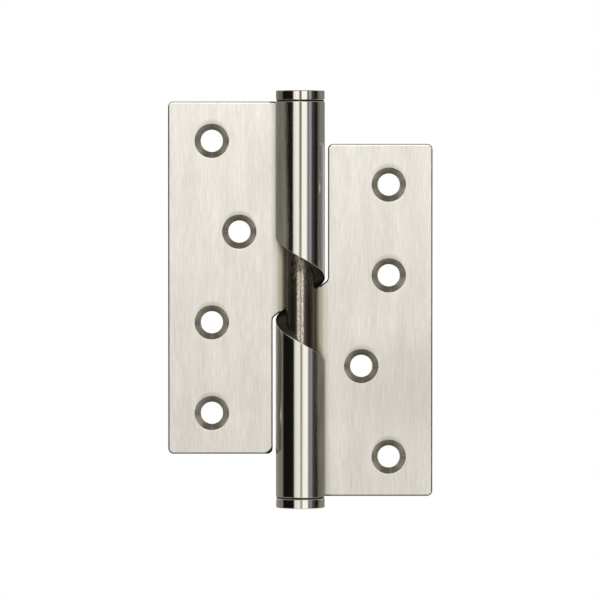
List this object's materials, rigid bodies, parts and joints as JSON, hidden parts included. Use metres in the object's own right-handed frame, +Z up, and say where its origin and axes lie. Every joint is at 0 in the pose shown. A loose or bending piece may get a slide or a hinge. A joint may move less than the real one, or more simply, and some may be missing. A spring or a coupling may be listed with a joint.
{
  "type": "rising butt hinge",
  "caption": "Rising butt hinge in brushed stainless steel, open flat: rolled leaves with helical ramps, countersunk screw holes, a pin and flat end caps.",
  "frame": {"origin": "on the pin's axis, half way between the two caps' outer faces", "axes": "+Z up along the pin, +X from the door leaf to the frame leaf, +Y towards the back faces of the leaves, so the screw heads face -Y"},
  "size_m": [0.075, 0.014, 0.1184],
  "materials": {
    "leaf_steel": "brushed along the pin, satin",
    "pin_steel": "turned, darkened and scuffed by running",
    "cap_steel": "turned, satin"
  },
  "bodies": {
    "frame_side": {"frame_leaf": "leaf_steel", "hinge_pin": "pin_steel", "bottom_cap": "cap_steel"},
    "riser": {"top_cap": "cap_steel"},
    "door_side": {"door_leaf": "leaf_steel"}
  },
  "joints": [
    {"name": "leaf_rise", "type": "slide", "parent": "frame_side", "child": "riser", "axis": [0, 0, 1], "range_m": [-0.012, 0]},
    {"name": "leaf_turn", "type": "hinge", "parent": "riser", "child": "door_side", "pos_m": [0, 0, 0], "axis": [0, 0, 1], "range_deg": [0, 180]}
  ],
  "couplings": [
    {"joint": "leaf_rise", "follows": "leaf_turn", "m_per_rad": -0.0038197}
  ]
}
